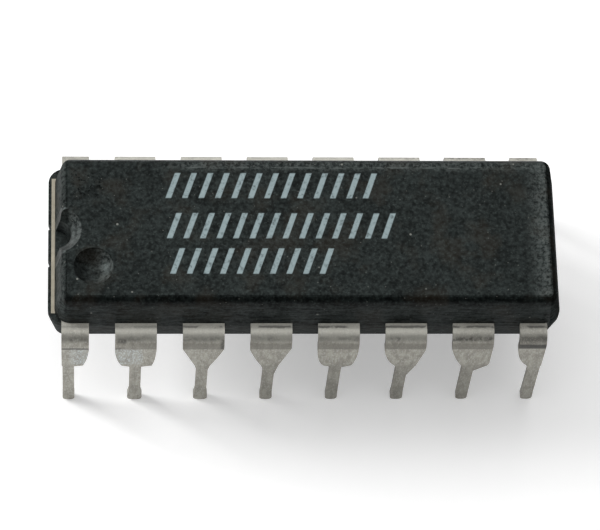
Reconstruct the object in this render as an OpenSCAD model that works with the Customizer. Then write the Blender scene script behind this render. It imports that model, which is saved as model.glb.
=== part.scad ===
// Sixteen-lead dual in-line package: a moulded body over a stamped lead frame, a die and its bond wires.
// X runs along the body with lead 1 at the -X end, Y across it with leads 1 to 8 at -Y, Z up.
// The package stands on its lead tips at Z = 0, with the origin under the middle of the body.

/* [Body] */
// Length of the body over its two end rims
body_length = 19.3; // [19.1:0.1:21]
// Width of the body at the parting line
body_width = 6.42; // [6.2:0.01:6.8]
// Height of the mould half above the parting line
upper_height = 1.65; // [1.5:0.05:1.9]
// Height of the mould half below the parting line
lower_height = 1.65; // [1.5:0.05:1.9]
// Draft of the moulded sides in degrees
mould_draft = 10.5; // [7:0.5:12]
// Corner radius of the flat part of the top face
top_corner_radius = 0.06; // [0.03:0.01:0.3]
// Corner radius of the flat part of the underside
bottom_corner_radius = 0.06; // [0.03:0.01:0.3]
// Radius that rounds the edges of the top face and the underside
edge_radius = 0.31; // [0.1:0.01:0.35]
// How far the lower half stands out past the upper half at the notched end
end_ledge = 0.25; // [0.16:0.01:0.3]

/* [Pin 1 marks] */
// Radius of the end notch at the top face
notch_radius = 0.95; // [0.7:0.01:1.1]
// Width of the sloping lip round the notch
notch_lip = 0.38; // [0.1:0.01:0.5]
// Depth of the sloping lip
notch_lip_depth = 0.45; // [0.2:0.05:0.8]
// Thickness of moulding between the floor of the notch and the frame under it
notch_floor = 0.15; // [0.05:0.01:0.4]
// Distance from the foot of the upper half's end to the centre of the notch
notch_inset = 0.06; // [0:0.01:0.4]
// How far the notch sits off the middle line, towards leads 1 to 8
notch_offset = 0.04; // [0:0.01:0.3]
// Diameter of the round dimple beside lead 1
dimple_diameter = 1.5; // [1:0.01:1.7]
// Depth of the dimple
dimple_depth = 0.42; // [0.2:0.01:0.5]
// Distance from the foot of the upper half's end to the centre of the dimple
dimple_inset = 1.47; // [1.3:0.01:2.5]
// Distance from the middle line to the centre of the dimple
dimple_offset = 1.54; // [1.3:0.01:1.8]

/* [Underside and ends] */
// Diameter of the ejector marks on the underside
ejector_diameter = 1.8; // [1:0.1:2.5]
// Depth of the ejector marks
ejector_depth = 0.08; // [0.04:0.01:0.15]
// Distance from the middle of the body to the outer ejector marks
ejector_spacing = 6.3; // [4:0.1:7.5]
// Width of the plastic rim outside the bare frame strip at the notched end
rim_width = 0.12; // [0.06:0.01:0.14]
// Length of the bare frame strip across the notched end
strip_length = 5.6; // [3:0.1:5.6]
// Distance of the two nicks in the end rim from the middle line
rim_nick_offset = 0.77; // [0.5:0.01:1.5]
// Width of each nick in the end rim
rim_nick_width = 0.3; // [0.1:0.01:0.4]

/* [Leads] */
// Distance between neighbouring leads of a row
lead_pitch = 2.54; // [2.5:0.01:2.56]
// Distance between the two rows, centre to centre of the metal at the bend
row_spacing = 7.66; // [7.5:0.01:8.2]
// Thickness of the lead-frame metal
frame_thickness = 0.25; // [0.2:0.01:0.3]
// Width of a lead's shoulder
shoulder_width = 1.56; // [1.3:0.01:1.8]
// Width of the pin below the shoulder
pin_width = 0.44; // [0.38:0.01:0.56]
// Length of the pin below the seating plane
pin_length = 3.17; // [2.9:0.01:3.8]
// Height of the body's underside above the seating plane
standoff = 0.45; // [0.38:0.01:0.8]
// Inside radius of the lead bend
bend_radius = 0.28; // [0.1:0.01:0.3]
// Outward lean of the lead legs in degrees
leg_lean = 1.2; // [0:0.1:5]
// Radius of the corners of a pin's tip
tip_radius = 0.18; // [0.05:0.01:0.18]
// Height over which the solder on a tip swells
tip_swell_height = 0.35; // [0.2:0.01:0.6]

/* [Lead frame inside the body] */
// Length of the die pad along the body
pad_length = 3.4; // [2.8:0.1:3.6]
// Width of the die pad across the body
pad_width = 2.8; // [2.2:0.1:2.8]
// Gap between the die pad and the finger tips
finger_gap = 0.25; // [0.15:0.01:0.3]
// Width of an inner finger
finger_width = 0.35; // [0.2:0.01:0.38]
// Distance between the finger tips along the sides of the pad
finger_tip_pitch = 0.95; // [0.8:0.01:1]
// Distance from the middle line to the finger tips of the four corner leads
corner_tip_offset = 0.55; // [0.5:0.01:0.6]
// Distance from the middle line to the finger tips next to them
second_tip_offset = 1.2; // [1.1:0.01:1.25]
// Depth of the full-width anchor of each lead inside the wall
anchor_depth = 0.5; // [0.3:0.01:0.6]
// Width of the tie bars that hold the pad
tie_bar_width = 0.4; // [0.3:0.01:0.44]

/* [Die and wires] */
// Length of the die
die_length = 2.2; // [1.6:0.1:2.4]
// Width of the die
die_width = 1.7; // [1.4:0.1:1.9]
// Thickness of the die
die_thickness = 0.28; // [0.2:0.01:0.35]
// Thickness of the adhesive under the die
attach_thickness = 0.03; // [0.02:0.01:0.05]
// How far the adhesive squeezes out past the die
attach_margin = 0.12; // [0.05:0.01:0.15]
// Diameter of a bond wire
wire_diameter = 0.04; // [0.03:0.005:0.06]
// Height of a wire loop above the die
wire_loop = 0.24; // [0.15:0.01:0.3]
// Diameter of the bond at the die end of a wire
ball_diameter = 0.1; // [0.08:0.01:0.12]
// Height of the bond at the die end of a wire
ball_height = 0.04; // [0.03:0.01:0.05]
// Distance from a die's edge or a finger's tip to the bond on it
bond_inset = 0.13; // [0.1:0.01:0.2]

/* [Hidden] */
$fn = 64;
leads_per_row = 8;
lead_count = 2 * leads_per_row;
// Steps in each rounded edge of the moulding
edge_steps = 7;
// Facets in a full turn of the moulding's upright corners
corner_facets = 40;
// Steps in each curved shoulder side
shoulder_steps = 6;
// Extra length of a cut past the surface it opens
cut_past = 0.5;
// How far the rim nicks run on past the outer face of the frame strip
nick_past = 0.04;

// Where each front shoulder starts to narrow, above the seating plane, on its left and right sides
knee_left = [0.3, 1.2, 1.5, 1.42, 1.5, 1.4, 1.55, 1.3];
knee_right = [1.4, 1.35, 1.5, 1.55, 1.15, 1.37, 0.2, 0.3];
// How far each front shoulder still reaches to its left and right where it meets the seating plane
foot_left = [0.26, 0.52, 0.29, 0.31, 0.46, 0.3, 0.29, 0.32];
foot_right = [0.54, 0.62, 0.29, 0.35, 0.58, 0.52, 0.72, 0.25];
// How far each curved shoulder side bulges towards its square corner
bulge_left = [0.45, 0.45, 0, 0.15, 0.7, 0.45, 0.25, 0.45];
bulge_right = [0.45, 0.45, 0.1, 0, 0.45, 0, 0, 0.45];
// Drop from each shoulder's foot to the full narrowness of the pin
drop_left = [0.06, 0.1, 0.38, 0.35, 0.1, 0.25, 0.3, 0.4];
drop_right = [0.06, 0.1, 0.4, 0.8, 0.15, 0.9, 0.5, 0.06];
// How much the solder on each front tip swells its half width
tip_swell = [0.01, 0.06, 0.05, 0.02, 0.01, 0.02, 0.0, 0.01];
// The same for the leads of the far row
far_knee = 1.2;
far_foot = 0.5;
far_bulge = 0.45;
far_drop = 0.06;
far_swell = 0.02;
// How far an end lead's outer side stands out past its pin
end_lead_step = 0.03;
// Level run of a tie bar beside the sunken pad, and the run of its slope
tie_level_run = 0.35;
tie_slope_run = 0.55;
// Steps of a quarter turn at a pin's tip
tip_steps = 3;
// Leads of each row that reach the ends of the pad, and equal steps of their bonds up the end of the die
end_leads = 4;
end_bond_steps = 3;
// Extra turn at each end of a wire's arc, in degrees, cut off again at the level of its bonds
sweep_past = 2;

half_thickness = frame_thickness / 2;
half_pitches = (leads_per_row - 1) / 2;
upper_start = -body_length / 2 + end_ledge;
upper_length = body_length - end_ledge;
parting_z = pin_length + standoff + lower_height;
seat_z = -(standoff + lower_height);
tip_z = -parting_z;
wall_y = body_width / 2;
bend_y = row_spacing / 2 - half_thickness - bend_radius;
bend_z = -half_thickness - bend_radius;
outer_bend_radius = bend_radius + frame_thickness;
tip_reach = bend_y + outer_bend_radius + (parting_z + bend_z) * tan(leg_lean) + frame_thickness;
// An end lead has half a shoulder: its outer side stops just past the pin
end_lead_reach = pin_width / 2 + end_lead_step;

pad_top = half_thickness - die_thickness - attach_thickness;
pad_bottom = pad_top - frame_thickness;
tie_slope_end = pad_length / 2 + tie_level_run;
tie_slope_start = tie_slope_end + tie_slope_run;

long_tip_y = pad_width / 2 + finger_gap;
short_tip_x = pad_length / 2 + finger_gap;
anchor_y = wall_y - anchor_depth;
// Straight run of the side fingers before their tips
finger_run = 0.4;
// Where the long fingers turn towards the pad, from the ends of the body
corner_turn = 2.2;
second_turn = 4.7;

function two_digits(i) = i < 10 ? str("0", i) : str(i);
function lead_name(i) = str("lead_", two_digits(i));
function wire_name(i) = str("bond_wire_", two_digits(i));

// How far the flat of the top face or underside lies in from the foot of the drafted side
function flat_inset(band, height) =
    (edge_radius + (height - edge_radius - band) * sin(mould_draft)) / cos(mould_draft);

// Leads 1 to 8 run left to right along the front row, leads 9 to 16 right to left along the far row
function in_front(i) = i <= leads_per_row;
function column(i) = in_front(i) ? i - 1 : lead_count - i;
function column_x(c) = (c - half_pitches) * lead_pitch;
function is_corner(c) = c == 0 || c == leads_per_row - 1;
function is_second(c) = c == 1 || c == leads_per_row - 2;
function end_side(c) = c < half_pitches ? -1 : 1;

// Profile of one corner of a drafted mould half, as [distance from the corner's axis, height]:
// an upright band, then the draft, then a rounded edge
function corner_profile(flat_radius, band, height) =
    let (foot_radius = flat_radius + flat_inset(band, height),
         centre = [flat_radius, height - edge_radius])
    concat([[0, 0], [foot_radius, 0], [foot_radius, band]],
           [for (s = [0:edge_steps])
               let (a = mould_draft + (90 - mould_draft) * s / edge_steps)
               centre + edge_radius * [cos(a), sin(a)]],
           [[0, height]]);

// Rectangular block with drafted sides and cone-shaped corners, standing on its foot
module drafted_block(length, width, flat_radius, band, height) {
    foot_radius = flat_radius + flat_inset(band, height);
    hull()
        for (sx = [-1, 1], sy = [-1, 1])
            translate([sx * (length / 2 - foot_radius), sy * (width / 2 - foot_radius), 0])
                rotate_extrude($fn = corner_facets)
                    polygon(corner_profile(flat_radius, band, height));
}

// Half-round notch in the end, with a sloping lip at the top face
module end_notch() {
    lip_bottom = upper_height - notch_lip_depth;
    translate([upper_start + notch_inset, -notch_offset, 0]) {
        translate([0, 0, half_thickness + notch_floor])
            cylinder(h = upper_height, r = notch_radius - notch_lip);
        translate([0, 0, lip_bottom])
            cylinder(h = notch_lip_depth, r1 = notch_radius - notch_lip, r2 = notch_radius);
        translate([0, 0, upper_height])
            cylinder(h = cut_past, r = notch_radius);
    }
}

// Bowl-shaped dimple: the part of a ball that lies below the top face
module pin_one_dimple() {
    ball_radius = (dimple_diameter * dimple_diameter / 4 + dimple_depth * dimple_depth) / (2 * dimple_depth);
    translate([upper_start + dimple_inset, -dimple_offset, upper_height - dimple_depth + ball_radius])
        sphere(ball_radius);
}

module ejector_marks() {
    for (x = [-ejector_spacing, 0, ejector_spacing])
        translate([x, 0, -lower_height - cut_past])
            cylinder(h = cut_past + ejector_depth, d = ejector_diameter);
}

// Two V-shaped nicks through the rim outside the frame strip
module rim_nicks() {
    for (side = [-1, 1])
        translate([-body_length / 2, side * rim_nick_offset, -lower_height])
            linear_extrude(lower_height + half_thickness + cut_past)
                polygon([[-cut_past, -rim_nick_width], [0, -rim_nick_width / 2], [rim_width + nick_past, 0],
                         [0, rim_nick_width / 2], [-cut_past, rim_nick_width]]);
}

// Side view of a lead outside the wall: level out of the body, round the bend and down
module lead_side_view() {
    translate([anchor_y, -half_thickness])
        square([bend_y - anchor_y, frame_thickness]);
    translate([bend_y, bend_z]) {
        intersection() {
            difference() {
                circle(outer_bend_radius);
                circle(bend_radius);
            }
            polygon([[0, 0], [0, 2 * outer_bend_radius], [2 * outer_bend_radius, 2 * outer_bend_radius],
                     [2 * outer_bend_radius * cos(leg_lean), 2 * outer_bend_radius * sin(leg_lean)]]);
        }
        rotate(leg_lean)
            translate([bend_radius, -parting_z])
                square([frame_thickness, parting_z]);
    }
}

// One side of a lead, as [reach, knee, foot, bulge, drop]
function lead_side(i, reach, knees, feet, bulges, drops) =
    let (c = column(i))
    in_front(i) ? [reach, knees[c], min(feet[c], reach), bulges[c], drops[c]]
    : [reach, far_knee, min(far_foot, reach), far_bulge, far_drop];

// Curved side of a shoulder, from its full reach at the knee in to its foot
function shoulder_curve(reach, knee, foot, bulge) =
    let (start = [reach, seat_z + knee],
         finish = [foot, seat_z],
         middle = (start + finish) / 2,
         control = middle + ([reach, seat_z] - middle) * bulge)
    [for (s = [0:shoulder_steps])
        let (t = s / shoulder_steps)
        (1 - t) * (1 - t) * start + 2 * t * (1 - t) * control + t * t * finish];

// One side of the pin, with the swollen, rounded tip
function pin_side(drop, swell) =
    let (half_pin = pin_width / 2,
         half_tip = half_pin + swell)
    concat([[half_pin, seat_z - drop],
            [half_pin, tip_z + 2 * tip_swell_height],
            [half_tip, tip_z + tip_swell_height]],
           [for (a = [0:90 / tip_steps:90])
               [half_tip - tip_radius + tip_radius * cos(a), tip_z + tip_radius - tip_radius * sin(a)]]);

function lead_half_outline(side, swell) =
    concat([[side[0], half_thickness + cut_past]],
           shoulder_curve(side[0], side[1], side[2], side[3]),
           pin_side(side[4], swell));

// Front view of a lead: shoulder, foot and pin
module lead_front_view(i) {
    c = column(i);
    half_shoulder = shoulder_width / 2;
    left_reach = c == 0 ? end_lead_reach : half_shoulder;
    right_reach = c == leads_per_row - 1 ? end_lead_reach : half_shoulder;
    swell = in_front(i) ? tip_swell[c] : far_swell;
    left = lead_half_outline(lead_side(i, left_reach, knee_left, foot_left, bulge_left, drop_left), swell);
    right = lead_half_outline(lead_side(i, right_reach, knee_right, foot_right, bulge_right, drop_right),
                              swell);
    last = len(left) - 1;
    polygon(concat(right, [for (k = [last:-1:0]) [-left[k][0], left[k][1]]]));
}

// Straight bar with round ends, for the inner fingers
module finger_bar(from, to) {
    run = to - from;
    translate(from)
        rotate(atan2(run[1], run[0]))
            translate([0, -finger_width / 2])
                square([norm(run), finger_width]);
    translate(from)
        circle(d = finger_width);
    translate(to)
        circle(d = finger_width);
}

function finger_tip(c) =
    is_corner(c) ? [end_side(c) * short_tip_x, corner_tip_offset]
    : is_second(c) ? [end_side(c) * short_tip_x, second_tip_offset]
    : [(c - half_pitches) * finger_tip_pitch, long_tip_y];

function finger_knee(c) =
    is_corner(c) ? [end_side(c) * (body_length / 2 - corner_turn), corner_tip_offset]
    : is_second(c) ? [end_side(c) * (body_length / 2 - second_turn), second_tip_offset]
    : [(c - half_pitches) * finger_tip_pitch, long_tip_y + finger_run];

// Which way a finger points as it ends at the pad
function tip_direction(c) = is_corner(c) || is_second(c) ? [end_side(c), 0] : [0, 1];

// Plan of the part of a lead inside the body, for a lead of the far row
module finger_plan(c) {
    tip_centre = finger_tip(c) + tip_direction(c) * finger_width / 2;
    finger_bar([column_x(c), anchor_y], finger_knee(c));
    finger_bar(finger_knee(c), tip_centre);
}

module lead(i) {
    color([0.62, 0.61, 0.57])
        translate([0, 0, parting_z])
            mirror([0, in_front(i) ? 1 : 0, 0]) {
                translate([column_x(column(i)), 0, 0])
                    intersection() {
                        rotate([90, 0, 90])
                            linear_extrude(2 * shoulder_width, center = true)
                                lead_side_view();
                        translate([0, tip_reach, 0])
                            rotate([90, 0, 0])
                                linear_extrude(tip_reach)
                                    lead_front_view(i);
                    }
                linear_extrude(frame_thickness, center = true)
                    finger_plan(column(i));
            }
}

// Side view of one tie bar: level from the end of the body, then down to the sunken pad
module tie_bar_side_view(end_x) {
    polygon([[end_x, half_thickness], [tie_slope_start, half_thickness], [tie_slope_end, pad_top],
             [0, pad_top], [0, pad_bottom], [tie_slope_end, pad_bottom],
             [tie_slope_start, -half_thickness], [end_x, -half_thickness]]);
}

module tie_bar(end_x) {
    rotate([90, 0, 0])
        linear_extrude(tie_bar_width, center = true)
            tie_bar_side_view(end_x);
}

// Sunken pad, its two tie bars and the strip that shows on the ledge at the notched end
module die_pad() {
    strip_outer_x = body_length / 2 - rim_width;
    strip_inner_x = -upper_start - rim_width;
    color([0.66, 0.60, 0.52])
        translate([0, 0, parting_z]) {
            translate([0, 0, pad_bottom + half_thickness])
                cube([pad_length, pad_width, frame_thickness], center = true);
            tie_bar(body_length / 2);
            mirror([1, 0, 0])
                tie_bar(strip_outer_x);
            translate([-strip_outer_x, -strip_length / 2, -half_thickness])
                cube([strip_outer_x - strip_inner_x, strip_length, frame_thickness]);
        }
}

module die_attach() {
    color([0.75, 0.76, 0.78])
        translate([0, 0, parting_z + pad_top + attach_thickness / 2])
            cube([die_length + 2 * attach_margin, die_width + 2 * attach_margin, attach_thickness],
                 center = true);
}

module die() {
    color([0.30, 0.32, 0.38])
        translate([0, 0, parting_z + pad_top + attach_thickness + die_thickness / 2])
            cube([die_length, die_width, die_thickness], center = true);
}

// Where a wire is bonded to the die, in plan, for a lead of the far row
function die_bond(c) =
    let (last_x = die_length / 2 - bond_inset,
         last_y = die_width / 2 - bond_inset)
    is_corner(c) ? [end_side(c) * last_x, last_y / end_bond_steps]
    : is_second(c) ? [end_side(c) * last_x, 2 * last_y / end_bond_steps]
    : [(c - half_pitches) * 2 * last_x / (leads_per_row - end_leads), last_y];

function finger_bond(c) = finger_tip(c) + tip_direction(c) * bond_inset;

// Wire loop between two bonds on one level: an arc of a circle cut off at that level
module wire_arc(span) {
    arc_radius = (span * span / 4 + wire_loop * wire_loop) / (2 * wire_loop);
    half_sweep = asin(span / 2 / arc_radius) + sweep_past;
    intersection() {
        translate([span / 2, 0, wire_loop - arc_radius])
            rotate([90, 0, 0])
                rotate(90 - half_sweep)
                    rotate_extrude(angle = 2 * half_sweep)
                        translate([arc_radius, 0])
                            circle(d = wire_diameter);
        translate([-wire_diameter, -wire_diameter, 0])
            cube([span + 2 * wire_diameter, 2 * wire_diameter, 2 * wire_loop]);
    }
}

module bond_wire(i) {
    c = column(i);
    from = die_bond(c);
    run = finger_bond(c) - from;
    span = norm(run);
    color([0.93, 0.75, 0.34])
        translate([0, 0, parting_z + half_thickness])
            mirror([0, in_front(i) ? 1 : 0, 0])
                translate([from[0], from[1], 0])
                    rotate(atan2(run[1], run[0])) {
                        wire_arc(span);
                        cylinder(h = ball_height, d = ball_diameter);
                        translate([span, 0, 0])
                            cylinder(h = ball_height / 2, d = ball_diameter);
                    }
}

// The lower half carries an upright band as thick as the frame, and stands out at the notched end
module bare_moulding() {
    translate([end_ledge / 2, 0, half_thickness])
        drafted_block(upper_length, body_width, top_corner_radius, 0, upper_height - half_thickness);
    translate([0, 0, half_thickness])
        mirror([0, 0, 1])
            drafted_block(body_length, body_width, bottom_corner_radius, frame_thickness,
                          lower_height + half_thickness);
}

// The moulding closes face to face round everything that it holds
module moulded_body() {
    color([0.20, 0.21, 0.21])
        difference() {
            translate([0, 0, parting_z])
                difference() {
                    bare_moulding();
                    end_notch();
                    pin_one_dimple();
                    ejector_marks();
                    rim_nicks();
                }
            die_pad();
            die_attach();
            die();
            for (i = [1:lead_count]) {
                lead(i);
                bond_wire(i);
            }
        }
}

moulded_body();
die_pad();
die_attach();
die();
for (i = [1:lead_count]) lead(i);
for (i = [1:lead_count]) bond_wire(i);
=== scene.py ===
# Looks of a sixteen-lead dual in-line package: moulded epoxy, solder-plated leads, soft studio light.
import math
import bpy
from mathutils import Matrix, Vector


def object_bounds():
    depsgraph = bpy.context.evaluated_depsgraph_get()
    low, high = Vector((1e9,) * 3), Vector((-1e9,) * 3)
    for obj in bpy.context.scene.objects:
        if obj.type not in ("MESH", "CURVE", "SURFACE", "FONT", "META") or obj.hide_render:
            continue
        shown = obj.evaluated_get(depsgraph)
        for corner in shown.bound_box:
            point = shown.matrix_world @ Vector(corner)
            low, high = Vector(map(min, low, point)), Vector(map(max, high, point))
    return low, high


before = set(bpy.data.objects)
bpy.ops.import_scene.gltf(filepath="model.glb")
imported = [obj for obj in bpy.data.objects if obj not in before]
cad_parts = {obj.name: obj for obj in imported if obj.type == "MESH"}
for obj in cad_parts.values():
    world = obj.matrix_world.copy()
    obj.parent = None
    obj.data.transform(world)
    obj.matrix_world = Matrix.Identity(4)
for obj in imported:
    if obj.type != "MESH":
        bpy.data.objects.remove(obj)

from types import SimpleNamespace

import bpy
from mathutils import Matrix, Vector

cad_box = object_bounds()

MM = 0.001

# Levels above the lead tips and places from the middle of the package, in millimetres
TOP_FACE = cad_box[1][2] / MM
PARTING = TOP_FACE - 1.65
WALL_Y = 3.21
FLAT_LEFT, FLAT_RIGHT = -8.86, 9.11
FLAT_HALF_WIDTH = 2.67
NOTCH_X, NOTCH_Y, NOTCH_RADIUS = -9.34, -0.04, 0.95
NOTCH_LIP_DEPTH = 0.45
DIMPLE_X, DIMPLE_Y, DIMPLE_RADIUS = -7.93, -1.54, 0.75
LEAD_PITCH = 2.54


def linear(hex_colour):
    """Turns an sRGB hex colour into the linear colour that a socket takes."""
    parts = [int(hex_colour[i:i + 2], 16) / 255 for i in (1, 3, 5)]
    return [p / 12.92 if p <= 0.04045 else ((p + 0.055) / 1.055) ** 2.4 for p in parts] + [1.0]


def add(tree, kind, inputs=None, **settings):
    """Adds a node. Settings are its properties; inputs are its socket values or the sockets that feed it."""
    node = tree.nodes.new("ShaderNode" + kind)
    for name, value in settings.items():
        setattr(node, name, value)
    for key, value in (inputs or {}).items():
        if isinstance(value, bpy.types.NodeSocket):
            tree.links.new(value, node.inputs[key])
        else:
            node.inputs[key].default_value = value
    return node


def new_material(name):
    """An empty material and its node tree."""
    material = bpy.data.materials.new(name)
    material.use_nodes = True
    material.node_tree.nodes.clear()
    return material, material.node_tree


def millimetres(tree):
    """Where a point of the piece lies, in millimetres."""
    place = add(tree, "TexCoord").outputs["Object"]
    return add(tree, "VectorMath", {0: place, "Scale": 1 / MM}, operation="SCALE").outputs[0]


def where(tree, *limits):
    """How far all the limits hold: their product. A limit is a mask or a number, or a value with the two
    levels between which it eases from 0 to 1, or from one strength to another when two more are given."""
    product = None
    for limit in limits:
        if isinstance(limit, tuple):
            value, start, full, *strengths = limit
            low, high = strengths or (0, 1)
            limit = add(tree, "MapRange", {"Value": value, "From Min": start, "From Max": full,
                                           "To Min": low, "To Max": high},
                        interpolation_type="SMOOTHSTEP").outputs[0]
        if product is None:
            product = limit
        else:
            product = add(tree, "Math", {0: product, 1: limit}, operation="MULTIPLY").outputs[0]
    return product


def band(value, low, high, soft):
    """The two limits that keep a value between low and high, each eased over soft on both sides."""
    return (value, low - soft, low + soft), (value, high + soft, high - soft)


def either(tree, *masks):
    """Where any of the masks holds: the greatest of them."""
    greatest = masks[0]
    for mask in masks[1:]:
        greatest = add(tree, "Math", {0: greatest, 1: mask}, operation="MAXIMUM").outputs[0]
    return greatest


def coat(tree, under, over, *limits):
    """One colour laid over another where all the limits hold. Both are hex colours or sockets."""
    under, over = [linear(colour) if isinstance(colour, str) else colour for colour in (under, over)]
    return add(tree, "Mix", {0: where(tree, *limits), 6: under, 7: over}, data_type="RGBA").outputs[2]


def away_from(tree, place, centre_x, centre_y):
    """Distance in plan from an upright axis."""
    plan = add(tree, "VectorMath", {0: place, 1: (1, 1, 0)}, operation="MULTIPLY").outputs[0]
    axis = (centre_x, centre_y, 0)
    return add(tree, "VectorMath", {0: plan, 1: axis}, operation="DISTANCE").outputs["Value"]


def filler_grains(tree, place, cell_mm, radius_mm, share):
    """Round grains scattered in space: 1 inside a grain, for the given share of the cells."""
    cells = add(tree, "TexVoronoi", {"Vector": place, "Scale": 1 / cell_mm}).outputs
    lottery = add(tree, "SeparateColor", {0: cells["Color"]}).outputs[0]
    return where(tree, (cells["Distance"], radius_mm / cell_mm, 0.5 * radius_mm / cell_mm),
                 (lottery, 1 - share, 1 - share / 2))


def ink_rows(tree, x, y):
    """Where three rows of plain slanted strokes are printed, each stroke 0.2 mm wide."""
    pitch, slant, half_height = 0.62, 0.35, 0.52
    slanted = add(tree, "Math", {0: y, 1: -slant, 2: x}, operation="MULTIPLY_ADD").outputs[0]
    across = add(tree, "Math", {0: slanted, 1: pitch / 2}, operation="PINGPONG").outputs[0]
    # The middle of each row, and its first and last stroke counted from the middle of the package
    rows = [where(tree, *band(y, middle - half_height, middle + half_height, 0.03),
                  *band(slanted, (first - 0.5) * pitch, (last + 0.5) * pitch, 0.01))
            for middle, first, last in ((1.79, -9, 3), (0.12, -8, 5), (-1.34, -7, 2))]
    return where(tree, either(tree, *rows), (across, 0.125, 0.085))


def moulding_skin(tree):
    """What the moulding's finish goes by: where a point lies, how it faces and the textures of the resin."""
    at = SimpleNamespace(place=millimetres(tree))
    at.x, at.y, at.z = add(tree, "SeparateXYZ", {0: at.place}).outputs
    normal = add(tree, "NewGeometry").outputs["Normal"]
    at.to_right, at.to_back, at.up = add(tree, "SeparateXYZ", {0: normal}).outputs
    at.from_notch = away_from(tree, at.place, NOTCH_X, NOTCH_Y)
    at.from_dimple = away_from(tree, at.place, DIMPLE_X, DIMPLE_Y)
    at.in_dimple = where(tree, (at.from_dimple, DIMPLE_RADIUS + 0.01, DIMPLE_RADIUS - 0.05),
                         (at.z, TOP_FACE - 0.6, TOP_FACE - 0.5))
    at.far_side = (at.x, DIMPLE_X - 0.07, DIMPLE_X + 0.38)
    at.top = where(tree, (at.up, 0.9, 0.99), (at.z, TOP_FACE - 0.5, TOP_FACE - 0.4))
    at.steep = where(tree, (at.up, 0.35, 0.1))
    at.cloud = add(tree, "TexNoise", {"Vector": at.place, "Scale": 1 / 0.9, "Detail": 5,
                                      "Roughness": 0.7}).outputs["Fac"]
    at.blotch = add(tree, "TexNoise", {"Vector": at.place, "Scale": 1 / 0.16, "Detail": 3,
                                       "Roughness": 0.7}).outputs["Fac"]
    mottle = add(tree, "Math", {0: at.cloud, 1: 0.45, 2: at.blotch}, operation="MULTIPLY_ADD").outputs[0]
    at.lighter = where(tree, (mottle, 0.5, 0.98))
    # The real spark-eroded grain is about 0.03 mm across, and is drawn at 0.08 mm so that it shows
    at.grain = add(tree, "TexNoise", {"Vector": at.place, "Scale": 1 / 0.08}).outputs["Fac"]
    at.scuff = add(tree, "TexNoise", {"Vector": at.place, "Scale": 1 / 0.15, "Detail": 4,
                                      "Roughness": 0.75}).outputs["Fac"]
    # Scratches 0.11 mm wide and five times as long, from sliding in the tube
    along = add(tree, "VectorMath", {0: at.place, 1: (0.2, 1.0, 1.0)}, operation="MULTIPLY").outputs[0]
    at.streak = add(tree, "TexNoise", {"Vector": along, "Scale": 1 / 0.11, "Detail": 4,
                                       "Roughness": 0.7}).outputs["Fac"]
    return at


def resin_colour(tree, at):
    """Dark resin with lighter and browner clouds and a fine grey grain."""
    colour = coat(tree, "#050606", "#181d1c", at.lighter)
    warm = add(tree, "TexNoise", {"Vector": at.place, "Scale": 1 / 1.2, "Detail": 4}).outputs["Fac"]
    colour = coat(tree, colour, "#231d16", (warm, 0.48, 0.66), 0.55)
    return coat(tree, colour, "#3b4140", (at.grain, 0.55, 0.8), 0.4)


def rubbed_haze_and_painted_light(tree, at):
    """Where the upper half is lighter grey: rubbed at its ends, in the notch and along its back edge; painted
    light where the left end, the notch's lip and the dimple's far side face the key lamp; and a painted
    highlight in a line along the back edge.
    """
    right = where(tree, (at.x, FLAT_RIGHT - 0.95, FLAT_RIGHT), at.top)
    outward = add(tree, "Math", {0: at.y}, operation="ABSOLUTE").outputs[0]
    # The left end is rubbed, and painted lighter as painted light where it faces the key lamp
    left = where(tree, (at.x, FLAT_LEFT - 0.08, FLAT_LEFT - 0.2), (outward, 0.85, 1.05),
                 (at.z, PARTING, PARTING + 0.8), 0.52)
    # The notch is rubbed most on the lip across its end, which also takes painted light as it faces the key
    # lamp, and the dimple's far side takes painted light where the lamp falls on it
    lip = where(tree, (at.x, NOTCH_X + 0.34, NOTCH_X + 0.64),
                (at.z, TOP_FACE - NOTCH_LIP_DEPTH, TOP_FACE - NOTCH_LIP_DEPTH + 0.1))
    lip = add(tree, "MapRange", {"Value": lip, "To Min": 0.2, "To Max": 0.8}).outputs[0]
    notch = where(tree, (at.from_notch, NOTCH_RADIUS + 0.03, NOTCH_RADIUS - 0.02),
                  (at.z, PARTING + 0.05, PARTING + 0.15), lip)
    dimple = where(tree, at.in_dimple, (*at.far_side, 0.3, 0.8))
    ends = where(tree, either(tree, left, right, notch, dimple), (at.scuff, 0.36, 0.64))
    back = where(tree, (at.y, FLAT_HALF_WIDTH - 0.4, FLAT_HALF_WIDTH), (at.scuff, 0.42, 0.64), 0.85)
    # A painted highlight: a thin light line along the back edge, where it catches a lamp
    painted_back_highlight = where(tree, *band(at.y, FLAT_HALF_WIDTH - 0.16, FLAT_HALF_WIDTH - 0.08, 0.02),
                     (at.streak, 0.45, 0.58))
    return either(tree, ends, where(tree, either(tree, back, painted_back_highlight), (at.x, -6.0, -4.0), at.top))


def rubbed_sides(tree, at):
    """Streaks that the tube's rails rub along the long drafted sides, below the clean rounded edge."""
    sideways = add(tree, "Math", {0: at.to_back}, operation="ABSOLUTE").outputs[0]
    return where(tree, (sideways, 0.5, 0.8), at.steep, (at.z, TOP_FACE - 0.3, TOP_FACE - 0.55),
                 (at.streak, 0.3, 0.7))


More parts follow.
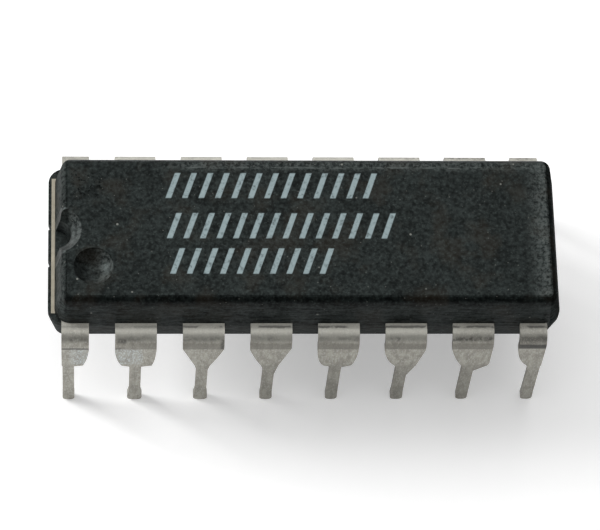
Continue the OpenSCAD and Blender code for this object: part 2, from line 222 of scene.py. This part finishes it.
def epoxy_shine(tree, at, worn, torn):
    """Roughness and gloss. The top shines dully, and the ends, the rounded front edge, the steep sides, the
    far side of the dimple and the torn corner are duller still."""
    right_side = where(tree, (at.to_right, 0.15, 0.35), (at.x, FLAT_RIGHT - 0.1, FLAT_RIGHT))
    left_side = where(tree, (at.to_right, -0.1, -0.3), (at.x, FLAT_LEFT + 0.04, FLAT_LEFT - 0.04),
                      (at.from_notch, NOTCH_RADIUS + 0.01, NOTCH_RADIUS + 0.07))
    smooth = add(tree, "MapRange", {"Value": at.cloud, "To Min": 0.36, "To Max": 0.5}).outputs[0]
    rough = either(tree, smooth, where(tree, worn, 0.65), where(tree, at.steep, 0.62),
                   where(tree, right_side, 0.95), where(tree, left_side, 0.7))
    front_edge = where(tree, (at.to_back, -0.15, -0.35))
    bowl = where(tree, at.in_dimple, at.far_side, 0.35)
    dull = either(tree, front_edge, right_side, left_side, at.steep, torn, bowl)
    shiny = add(tree, "MapRange", {"Value": at.lighter, "To Min": 0.09, "To Max": 0.29}).outputs[0]
    dulled = add(tree, "MapRange", {"Value": dull, "To Min": 1, "To Max": 0.37}).outputs[0]
    return rough, where(tree, shiny, dulled)


def moulded_epoxy():
    """Silica-filled epoxy, transfer moulded: black with a fine spark-eroded texture that shines dully under a
    lamp, pale filler grains here and there, rubbed grey where it slides in its tube, and painted light and a
    painted highlight where the upper half faces the lamps."""
    material, tree = new_material("moulded_silica_filled_epoxy")
    at = moulding_skin(tree)
    rubbed_grey_and_painted_light = rubbed_haze_and_painted_light(tree, at)
    # Rubbed grey, together with painted light on the lamp-facing left end, notch lip and dimple side, and a
    # painted highlight along the back edge
    colour = coat(tree, resin_colour(tree, at), "#6c7270", rubbed_grey_and_painted_light, 0.5)
    colour = coat(tree, colour, "#525857", rubbed_sides(tree, at), 0.6)
    # Filler grains that lie open, large ones and small ones, but none in the dimple
    large = filler_grains(tree, at.place, cell_mm=0.5, radius_mm=0.06, share=0.22)
    small = filler_grains(tree, at.place, cell_mm=0.23, radius_mm=0.03, share=0.5)
    colour = coat(tree, colour, "#8f908a", either(tree, large, where(tree, small, 0.4)),
                  (at.from_dimple, DIMPLE_RADIUS - 0.05, DIMPLE_RADIUS + 0.05), 0.7)
    # A corner where the top face is torn into dark pits
    torn = where(tree, *band(at.x, -8.8, -7.6, 0.15), *band(at.y, 1.3, 2.4, 0.15), at.top,
                 (at.scuff, 0.46, 0.4))
    colour = coat(tree, colour, "#020303", torn)
    # Screen-printed ink, worn thin in places
    ink = where(tree, ink_rows(tree, at.x, at.y), at.top, (at.blotch, 0.3, 0.5, 0.5, 1))
    colour = coat(tree, colour, coat(tree, "#7d8e92", "#a4b4b6", at.scuff), ink)
    height = add(tree, "Math", {0: at.grain, 1: at.scuff}, operation="ADD").outputs[0]
    bump = add(tree, "Bump", {"Height": height, "Strength": 0.8, "Distance": 0.008 * MM}).outputs[0]
    rough, gloss = epoxy_shine(tree, at, either(tree, ink, rubbed_grey_and_painted_light, torn), torn)
    shader = add(tree, "BsdfPrincipled", {"Base Color": colour, "Roughness": rough, "Normal": bump,
                                          "IOR": 1.55, "Specular IOR Level": gloss,
                                          "Specular Tint": linear("#edfffc")})
    add(tree, "OutputMaterial", {"Surface": shader.outputs[0]})
    return material


def solder_skin(tree):
    """What the solder's finish goes by: where a point lies, and textures drawn out along Z, because the
    solder drained down the leads."""
    at = SimpleNamespace(place=millimetres(tree))
    at.x, at.y, at.z = add(tree, "SeparateXYZ", {0: at.place}).outputs
    at.last_lead = (at.x, 7.6, 8.2)
    drained = add(tree, "VectorMath", {0: at.place, 1: (1.0, 1.0, 0.35)}, operation="MULTIPLY").outputs[0]
    at.cloud = add(tree, "TexNoise", {"Vector": drained, "Scale": 1 / 0.22, "Detail": 4,
                                      "Roughness": 0.65}).outputs["Fac"]
    # The solder's own grain is about 0.02 mm, and is drawn at 0.05 mm so that it shows
    at.grain = add(tree, "TexNoise", {"Vector": drained, "Scale": 1 / 0.05}).outputs["Fac"]
    # Height, unsteady by 0.06 mm, so that what the tool left has an uneven edge
    at.height = add(tree, "Math", {0: at.cloud, 1: 0.06, 2: at.z}, operation="MULTIPLY_ADD").outputs[0]
    return at


def tool_marks(tree, at):
    """Dark marks on the leads: broken lines that the forming tool left beside the moulding and on the bend,
    with the creases and stains of the photographed row."""
    broken = add(tree, "TexNoise", {"Vector": at.place, "Scale": 1 / 0.6, "Detail": 3}).outputs["Fac"]
    speck = add(tree, "TexNoise", {"Vector": at.place, "Scale": 1 / 0.13, "Detail": 3}).outputs["Fac"]
    # Distance from the middle line, unsteady by 0.1 mm
    outward = add(tree, "Math", {0: at.y}, operation="ABSOLUTE").outputs[0]
    outward = add(tree, "Math", {0: at.cloud, 1: 0.1, 2: outward}, operation="MULTIPLY_ADD").outputs[0]
    beside = where(tree, *band(outward, WALL_Y + 0.15, WALL_Y + 0.24, 0.03), (at.x, -6.5, -3.0, 0.3, 0.75))
    on_bend = where(tree, *band(at.height, PARTING - 0.06, PARTING + 0.05, 0.05), (speck, 0.4, 0.55),
                    (at.x, 1.0, 6.0, 0.3, 0.7))
    lines = where(tree, either(tree, beside, on_bend), (broken, 0.42, 0.52))
    # Creases on the first and last lead and a dark patch on the last, in the photographed row alone
    front = where(tree, (at.y, 0.1, -0.1))
    first = where(tree, (at.x, -7.6, -8.2), front)
    last = where(tree, at.last_lead, front)
    first_crease = where(tree, first, *band(at.height, PARTING - 0.6, PARTING - 0.5, 0.02))
    last_crease = where(tree, last, *band(at.height, PARTING - 0.52, PARTING - 0.2, 0.06))
    patch = where(tree, last, *band(at.height, PARTING - 0.2, PARTING + 0.08, 0.05),
                  (at.grain, 0.38, 0.55), 0.5)
    # Stains on the second and third leads of that row: the lead's middle, where the stain starts and ends
    # beside it, and how far below the parting line it starts and ends
    stains = [where(tree, *band(at.x, lead_x + left, lead_x + right, 0.06),
                    *band(at.height, PARTING - foot, PARTING - head, 0.06), front, (speck, 0.2, 0.5), 0.75)
              for lead_x, left, right, head, foot in ((-2.5 * LEAD_PITCH, -0.69, -0.35, 0.0, 0.14),
                                                      (-2.5 * LEAD_PITCH, -0.78, -0.57, 0.46, 0.6),
                                                      (-1.5 * LEAD_PITCH, 0.65, 0.78, 0.0, 0.58))]
    return either(tree, lines, first_crease, last_crease, patch, *stains)


def solder_plate():
    """Hot-dipped tin-lead solder, dull and slightly grainy, tarnished where the forming tool bent it and
    painted darker there as painted shade, with a painted highlight on the top of each lead.
    """
    material, tree = new_material("dull_tin_lead_solder")
    at = solder_skin(tree)
    colour = coat(tree, "#928f87", "#adaba2", (at.cloud, 0.35, 0.65))
    colour = coat(tree, colour, "#dcded8", (at.grain, 0.45, 0.75), 0.35)
    # The bend, burnished and tarnished by the tool as far as a clear edge, and painted darker still as
    # painted shade standing in for its dark reflection, less so on the end leads
    colour = coat(tree, colour, "#6f6d66", (at.height, PARTING - 0.6, PARTING - 0.57),
                  (at.height, PARTING - 0.08, PARTING - 0.22),
                  (at.x, -5.3, -8.2, 1, 0.238), (*at.last_lead, 1, 0.238), 0.63)
    # Pins further along the row are darker, except the last, and every tip is a little tarnished
    pins = where(tree, (at.z, PARTING - 1.9, PARTING - 2.2), (at.x, -4.0, 0.5, 0.05, 0.25),
                 (*at.last_lead, 1, 0.4))
    tips = where(tree, (at.z, 1.6, 0.2), 0.03)
    colour = coat(tree, colour, "#66655e", add(tree, "Math", {0: pins, 1: tips}, operation="ADD").outputs[0])
    # The first shoulders are brighter
    colour = coat(tree, colour, "#c9d2d6", *band(at.x, -8.8, -6.1, 0.1),
                  *band(at.z, PARTING - 1.95, PARTING - 0.65, 0.1), (at.grain, 0.45, 0.65, 0.1, 0.6))
    # A painted highlight on the top of the bend, less so on the end leads
    colour = coat(tree, colour, "#e4e3da", (at.z, PARTING - 0.2, PARTING + 0.05),
                  (at.x, 5.0, 6.5, 1, 0.5), (at.x, -7.5, -8.3, 1, 0.5), 0.5)
    colour = coat(tree, colour, "#2f3031", tool_marks(tree, at), 0.8)
    bump = add(tree, "Bump", {"Height": at.grain, "Strength": 0.5, "Distance": 0.005 * MM}).outputs[0]
    rough = add(tree, "MapRange", {"Value": at.cloud, "To Min": 0.48, "To Max": 0.64}).outputs[0]
    shader = add(tree, "BsdfPrincipled", {"Base Color": colour, "Metallic": 1.0, "Roughness": rough,
                                          "Normal": bump})
    add(tree, "OutputMaterial", {"Surface": shader.outputs[0]})
    return material


def mottled_finish(name, dark, light, size_mm, metallic, roughness):
    """A finish with soft clouds of about size_mm, for a piece that is sealed in the moulding or nearly so."""
    material, tree = new_material(name)
    mottle = add(tree, "TexNoise", {"Vector": millimetres(tree), "Scale": 1 / size_mm,
                                    "Detail": 3}).outputs["Fac"]
    shader = add(tree, "BsdfPrincipled", {"Base Color": coat(tree, dark, light, mottle),
                                          "Metallic": metallic, "Roughness": roughness})
    add(tree, "OutputMaterial", {"Surface": shader.outputs[0]})
    return material


def dress(names, material):
    """Gives the named CAD nodes their finish."""
    for name in names:
        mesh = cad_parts[name].data
        mesh.materials.clear()
        mesh.materials.append(material)


def matt_paper():
    """Matt white paper with a faint tooth. A weak glow, seen by the camera and in the metal alone, brings it
    up to white, and it still takes the shadow."""
    material, tree = new_material("matt_white_paper")
    tooth = add(tree, "TexNoise", {"Vector": millimetres(tree), "Scale": 1 / 0.6, "Detail": 3}).outputs["Fac"]
    paper = add(tree, "BsdfDiffuse", {"Color": coat(tree, "#eeeeee", "#f3f3f3", tooth)})
    rays = add(tree, "LightPath").outputs
    seen = either(tree, rays["Is Camera Ray"], rays["Is Glossy Ray"], rays["Is Transmission Ray"])
    glow = add(tree, "Emission", {"Color": linear("#ffffff"), "Strength": where(tree, seen, 0.34)})
    both = add(tree, "AddShader", {0: paper.outputs[0], 1: glow.outputs[0]})
    add(tree, "OutputMaterial", {"Surface": both.outputs[0]})
    return material


def paper_floor():
    """A wide flat sheet of matt white paper, just clear of the lead tips."""
    bpy.ops.mesh.primitive_plane_add(size=1.6, location=(0, 0, -0.01 * MM))
    sheet = bpy.context.object
    sheet.name = "paper_floor"
    sheet.data.materials.append(matt_paper())


def studio():
    """A soft key lamp low on the left, a wide overhead lamp, a weak panel at the back and a dim room."""
    scene = bpy.context.scene
    world = bpy.data.worlds.new("dim_room")
    scene.world = world
    world.use_nodes = True
    room = world.node_tree.nodes["Background"].inputs
    room["Color"].default_value = linear("#ffffff")
    room["Strength"].default_value = 0.18
    # Each lamp's place and size in metres, and its level, the share of a white sheet's brightness that it
    # gives under it
    for name, place, size, level in (("key_lamp", (-0.268, 0.098, 0.148), 0.12, 0.42),
                                     ("overhead_lamp", (0.0, 0.06, 0.30), 0.32, 0.46),
                                     ("back_lamp", (0.05, 0.40, 0.16), 0.24, 0.05)):
        position = Vector(place)
        distance = position.length
        lamp = bpy.data.lights.new(name, "AREA")
        lamp.shape = "SQUARE"
        lamp.size = size
        lamp.energy = level * math.pi ** 2 * distance ** 2 / (position.z / distance)
        holder = bpy.data.objects.new(name, lamp)
        turn = position.to_track_quat("Z", "Y").to_matrix().to_4x4()
        holder.matrix_world = Matrix.Translation(position) @ turn
        scene.collection.objects.link(holder)
    scene.view_settings.view_transform = "Standard"


def photo_camera():
    """The photograph's view: from above the front row, a little to the left, and slightly rolled."""
    azimuth, elevation, roll = math.radians(8.3969), math.radians(65.1004), math.radians(7.6913)
    target = Vector((-0.1286, -0.741, PARTING - 0.008)) * MM
    distance = 131.9545 * MM
    back = Vector((-math.sin(azimuth) * math.cos(elevation), -math.cos(azimuth) * math.cos(elevation),
                   math.sin(elevation)))
    level_right = (-back).cross(Vector((0, 0, 1))).normalized()
    level_up = level_right.cross(-back)
    right = level_right * math.cos(roll) + level_up * math.sin(roll)
    up = level_up * math.cos(roll) - level_right * math.sin(roll)
    data = bpy.data.cameras.new("photo_camera")
    data.sensor_width = 36
    data.lens = 208.96
    data.clip_start, data.clip_end = 0.005, 5
    camera = bpy.data.objects.new("photo_camera", data)
    camera.matrix_world = (Matrix.Translation(target + back * distance)
                           @ Matrix((right, up, back)).transposed().to_4x4())
    bpy.context.scene.collection.objects.link(camera)
    bpy.context.scene.camera = camera


dress(["moulded_body"], moulded_epoxy())
dress([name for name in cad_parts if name.startswith("lead_")], solder_plate())
# Rolled nickel-iron strip, left bare: a warm grey metal with a soft shine
dress(["die_pad"], mottled_finish("bare_nickel_iron_frame", "#8f8a7c", "#b0aa9b",
                                  size_mm=0.2, metallic=1.0, roughness=0.45))
# Adhesive filled with silver flakes, cured: pale grey with a fine glitter
dress(["die_attach"], mottled_finish("silver_filled_epoxy", "#a7a8aa", "#c9cacc",
                                     size_mm=0.05, metallic=0.6, roughness=0.5))
# Polished silicon: dark blue-grey and smooth
dress(["die"], mottled_finish("polished_silicon", "#3a4150", "#56607a",
                              size_mm=0.3, metallic=0.4, roughness=0.15))
# Drawn gold wire: bright yellow
dress([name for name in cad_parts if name.startswith("bond_wire_")],
      mottled_finish("drawn_gold_wire", "#e0b24a", "#f2cd72", size_mm=0.1, metallic=1.0, roughness=0.25))
paper_floor()
studio()
photo_camera()
